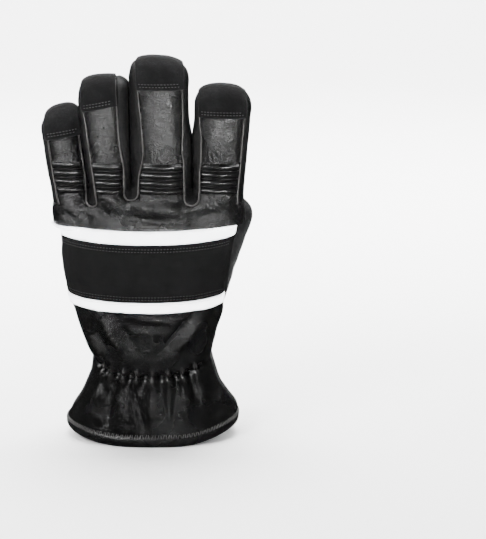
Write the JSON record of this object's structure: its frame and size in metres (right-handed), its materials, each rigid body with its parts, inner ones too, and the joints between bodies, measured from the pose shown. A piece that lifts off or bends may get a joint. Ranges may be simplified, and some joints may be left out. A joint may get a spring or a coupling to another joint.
{
  "type": "firefighter glove",
  "caption": "Padded leather firefighter glove for the left hand, with a ribbed back, reflective tapes, suede palm and an open flared cuff, standing on its hem.",
  "frame": {"origin": "on the floor, under the middle of the glove's bounding box", "axes": "+Z from the cuff's hem up to the fingertips, -Y out of the back of the hand, +Y out of the palm, +X towards the thumb side"},
  "size_m": [0.1518, 0.1242, 0.2872],
  "materials": {
    "leather": "smooth black grain, softly glossy",
    "suede": "dark grey napped suede, matte",
    "dark_suede": "charcoal napped suede, matte",
    "band_cloth": "black padded cloth, matte",
    "reflective_tape": "silver-white retroreflective tape",
    "binding": "rolled black leather binding",
    "rib_leather": "glossy black leather over ribs"
  },
  "bodies": {
    "root": {"hand_back": "leather", "hand_palm": "suede", "fourchette_pinky_ring": "leather", "fourchette_ring_middle": "leather", "fourchette_middle_index": "leather", "side_strip_pinky": "leather", "side_strip_index": "leather", "thumb_back": "suede", "thumb_front": "suede", "cuff_back": "leather", "cuff_palm": "suede", "hem_binding": "binding", "knuckle_band": "band_cloth", "reflective_tape_upper": "reflective_tape", "reflective_tape_lower": "reflective_tape", "palm_patch": "dark_suede", "fingertip_cap_pinky": "dark_suede", "fingertip_cap_ring": "dark_suede", "fingertip_cap_middle": "dark_suede", "fingertip_cap_index": "dark_suede", "knuckle_ribs_pinky": "rib_leather", "knuckle_ribs_ring": "rib_leather", "knuckle_ribs_middle": "rib_leather", "knuckle_ribs_index": "rib_leather"}
  },
  "joints": []
}
